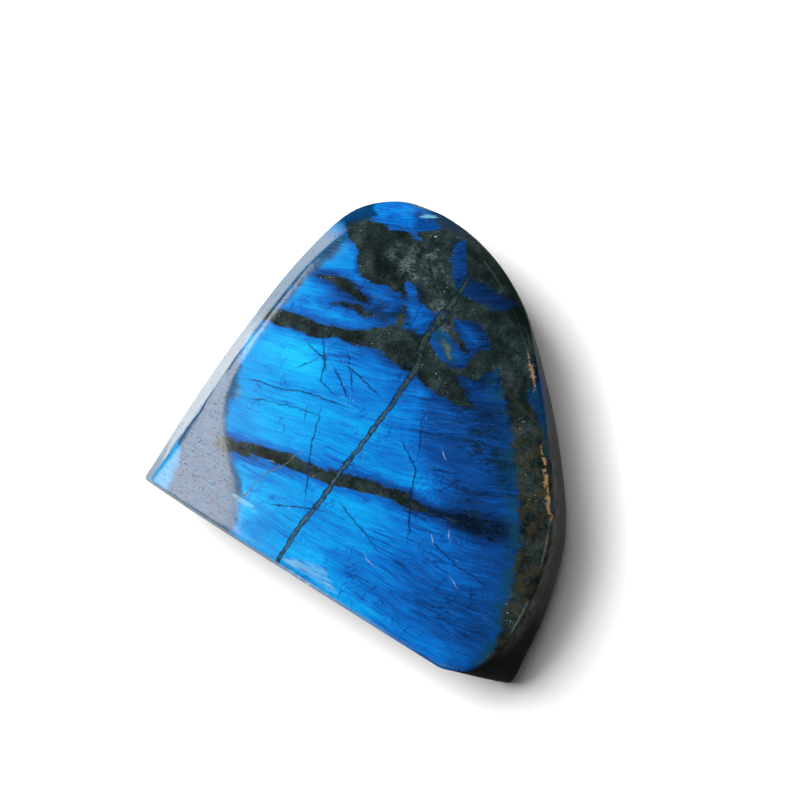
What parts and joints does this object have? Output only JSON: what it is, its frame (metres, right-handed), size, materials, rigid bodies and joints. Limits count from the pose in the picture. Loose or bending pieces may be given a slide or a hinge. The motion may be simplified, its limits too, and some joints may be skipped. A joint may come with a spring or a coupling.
{
  "type": "polished labradorite freeform",
  "caption": "Polished labradorite stone with a blue flash face, ground sides, a flat back and a flat sawn base it can stand on.",
  "frame": {"origin": "under the middle of the stone's bounding box, on the surface that its flat back lies on", "axes": "+X along the sawn base, +Y from the sawn base to the rounded top, +Z out of the flash face"},
  "size_m": [0.1156, 0.1048, 0.0335],
  "materials": {
    "labradorite": "polished"
  },
  "bodies": {
    "root": {"labradorite_stone": "labradorite"}
  },
  "joints": []
}
